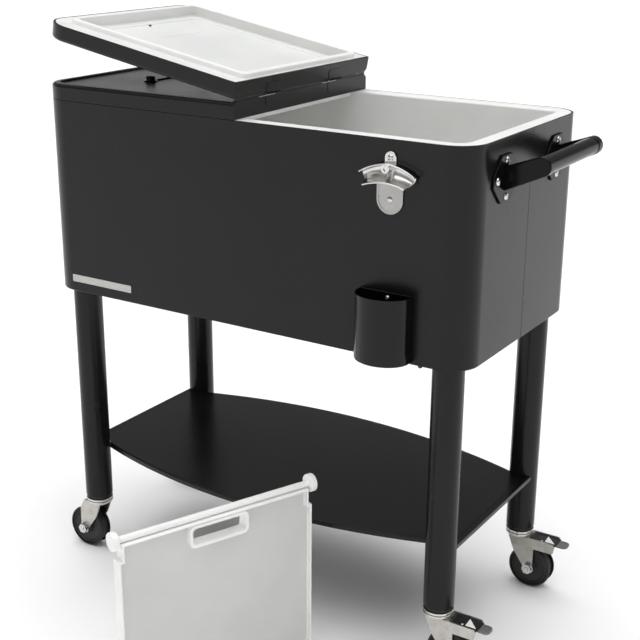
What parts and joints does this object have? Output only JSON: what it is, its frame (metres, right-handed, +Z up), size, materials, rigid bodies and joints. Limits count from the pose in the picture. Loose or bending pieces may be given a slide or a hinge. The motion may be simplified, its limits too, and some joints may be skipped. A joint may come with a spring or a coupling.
{
  "type": "rolling patio cooler",
  "caption": "Insulated drinks cabinet on four tube legs and swivel casters, with half lids hinged to each other, push handle, shelf, wall opener, cap cup and loose divider",
  "frame": {"origin": "on the floor, under the middle of the whole part's box, the divider in front included", "axes": "+X along the cabinet toward the push handle, -Y toward the front with opener and cup, +Z up"},
  "size_m": [0.8718, 0.74, 0.9559],
  "materials": {
    "painted_steel": "semi-gloss black paint",
    "galvanised": "dull galvanised sheet",
    "tub_plastic": "smooth white moulding",
    "foam": "closed-cell foam, open texture",
    "black_plastic": "fine grained black",
    "gloss_black": "gloss black enamel",
    "rubber": "matt black tread",
    "zinc": "bright zinc plating",
    "polished_steel": "polished"
  },
  "bodies": {
    "base": {"base_panel": "galvanised", "bottle_opener": "polished_steel", "cap_catcher": "gloss_black", "caster_stem_front_left": "black_plastic", "caster_stem_front_right": "black_plastic", "caster_stem_rear_left": "black_plastic", "caster_stem_rear_right": "black_plastic", "drain_spout": "tub_plastic", "front_shell": "painted_steel", "handle_bracket_front": "gloss_black", "handle_bracket_rear": "gloss_black", "handle_grip": "gloss_black", "insulation": "foam", "leg_front_left": "painted_steel", "leg_front_right": "painted_steel", "leg_rear_left": "painted_steel", "leg_rear_right": "painted_steel", "leg_socket_front_left": "painted_steel", "leg_socket_front_right": "painted_steel", "leg_socket_rear_left": "painted_steel", "leg_socket_rear_right": "painted_steel", "nameplate": "polished_steel", "opener_screw_low": "zinc", "opener_screw_top": "zinc", "rear_shell": "painted_steel", "shelf": "painted_steel", "shelf_rail_left": "painted_steel", "shelf_rail_right": "painted_steel", "tub": "tub_plastic"},
    "lid_left": {"lid_shell_left": "painted_steel", "lid_liner_left": "tub_plastic", "lid_foam_left": "foam", "lid_handle_left": "gloss_black", "hinge_leaf_left_front": "zinc", "hinge_leaf_left_rear": "zinc", "hinge_pin_front": "zinc", "hinge_pin_rear": "zinc"},
    "lid_right": {"lid_shell_right": "painted_steel", "lid_liner_right": "tub_plastic", "lid_foam_right": "foam", "lid_handle_right": "gloss_black", "hinge_leaf_right_front": "zinc", "hinge_leaf_right_rear": "zinc"},
    "drain_cap": {"drain_cap": "black_plastic"},
    "divider": {"divider_panel": "tub_plastic", "divider_rail": "tub_plastic"},
    "caster_front_left": {"caster_fork_front_left": "zinc", "caster_axle_front_left": "zinc"},
    "wheel_front_left": {"caster_wheel_front_left": "rubber"},
    "caster_rear_left": {"caster_fork_rear_left": "zinc", "caster_axle_rear_left": "zinc"},
    "wheel_rear_left": {"caster_wheel_rear_left": "rubber"},
    "caster_front_right": {"caster_fork_front_right": "zinc", "caster_axle_front_right": "zinc"},
    "wheel_front_right": {"caster_wheel_front_right": "rubber"},
    "caster_rear_right": {"caster_fork_rear_right": "zinc", "caster_axle_rear_right": "zinc"},
    "wheel_rear_right": {"caster_wheel_rear_right": "rubber"},
    "pedal_front_right": {"brake_pedal_front_right": "black_plastic"},
    "pedal_rear_right": {"brake_pedal_rear_right": "black_plastic"}
  },
  "joints": [
    {"name": "lid_lift", "type": "slide", "parent": "base", "child": "lid_left", "axis": [0, 0, 1], "range_m": [0, 0.25]},
    {"name": "lid_flip", "type": "hinge", "parent": "lid_left", "child": "lid_right", "pos_m": [-0.02488, 0.17098, 0.856], "axis": [0, 1, 0], "range_deg": [0, 169.6]},
    {"name": "drain_cap_turn", "type": "hinge", "parent": "base", "child": "drain_cap", "pos_m": [-0.42688, 0.26098, 0.55], "axis": [-1, 0, 0], "range_deg": [0, 360]},
    {"name": "divider_lift", "type": "slide", "parent": "base", "child": "divider", "axis": [0, 0, 1], "range_m": [0, 0.4]},
    {"name": "swivel_front_left", "type": "hinge", "parent": "base", "child": "caster_front_left", "pos_m": [-0.37188, 0.01598, 0], "axis": [0, 0, 1], "continuous": true},
    {"name": "roll_front_left", "type": "hinge", "parent": "caster_front_left", "child": "wheel_front_left", "pos_m": [-0.39788, 0.01598, 0.038], "axis": [0, 1, 0], "continuous": true},
    {"name": "swivel_rear_left", "type": "hinge", "parent": "base", "child": "caster_rear_left", "pos_m": [-0.37188, 0.32598, 0], "axis": [0, 0, 1], "continuous": true},
    {"name": "roll_rear_left", "type": "hinge", "parent": "caster_rear_left", "child": "wheel_rear_left", "pos_m": [-0.39788, 0.32598, 0.038], "axis": [0, 1, 0], "continuous": true},
    {"name": "swivel_front_right", "type": "hinge", "parent": "base", "child": "caster_front_right", "pos_m": [0.32212, 0.01598, 0], "axis": [0, 0, 1], "continuous": true},
    {"name": "roll_front_right", "type": "hinge", "parent": "caster_front_right", "child": "wheel_front_right", "pos_m": [0.34812, 0.01598, 0.038], "axis": [0, 1, 0], "continuous": true},
    {"name": "swivel_rear_right", "type": "hinge", "parent": "base", "child": "caster_rear_right", "pos_m": [0.32212, 0.32598, 0], "axis": [0, 0, 1], "continuous": true},
    {"name": "roll_rear_right", "type": "hinge", "parent": "caster_rear_right", "child": "wheel_rear_right", "pos_m": [0.34812, 0.32598, 0.038], "axis": [0, 1, 0], "continuous": true},
    {"name": "brake_front_right", "type": "hinge", "parent": "caster_front_right", "child": "pedal_front_right", "pos_m": [0.37412, 0.01598, 0.086], "axis": [0, 1, 0], "range_deg": [0, 8]},
    {"name": "brake_rear_right", "type": "hinge", "parent": "caster_rear_right", "child": "pedal_rear_right", "pos_m": [0.37412, 0.32598, 0.086], "axis": [0, 1, 0], "range_deg": [0, 8]}
  ]
}
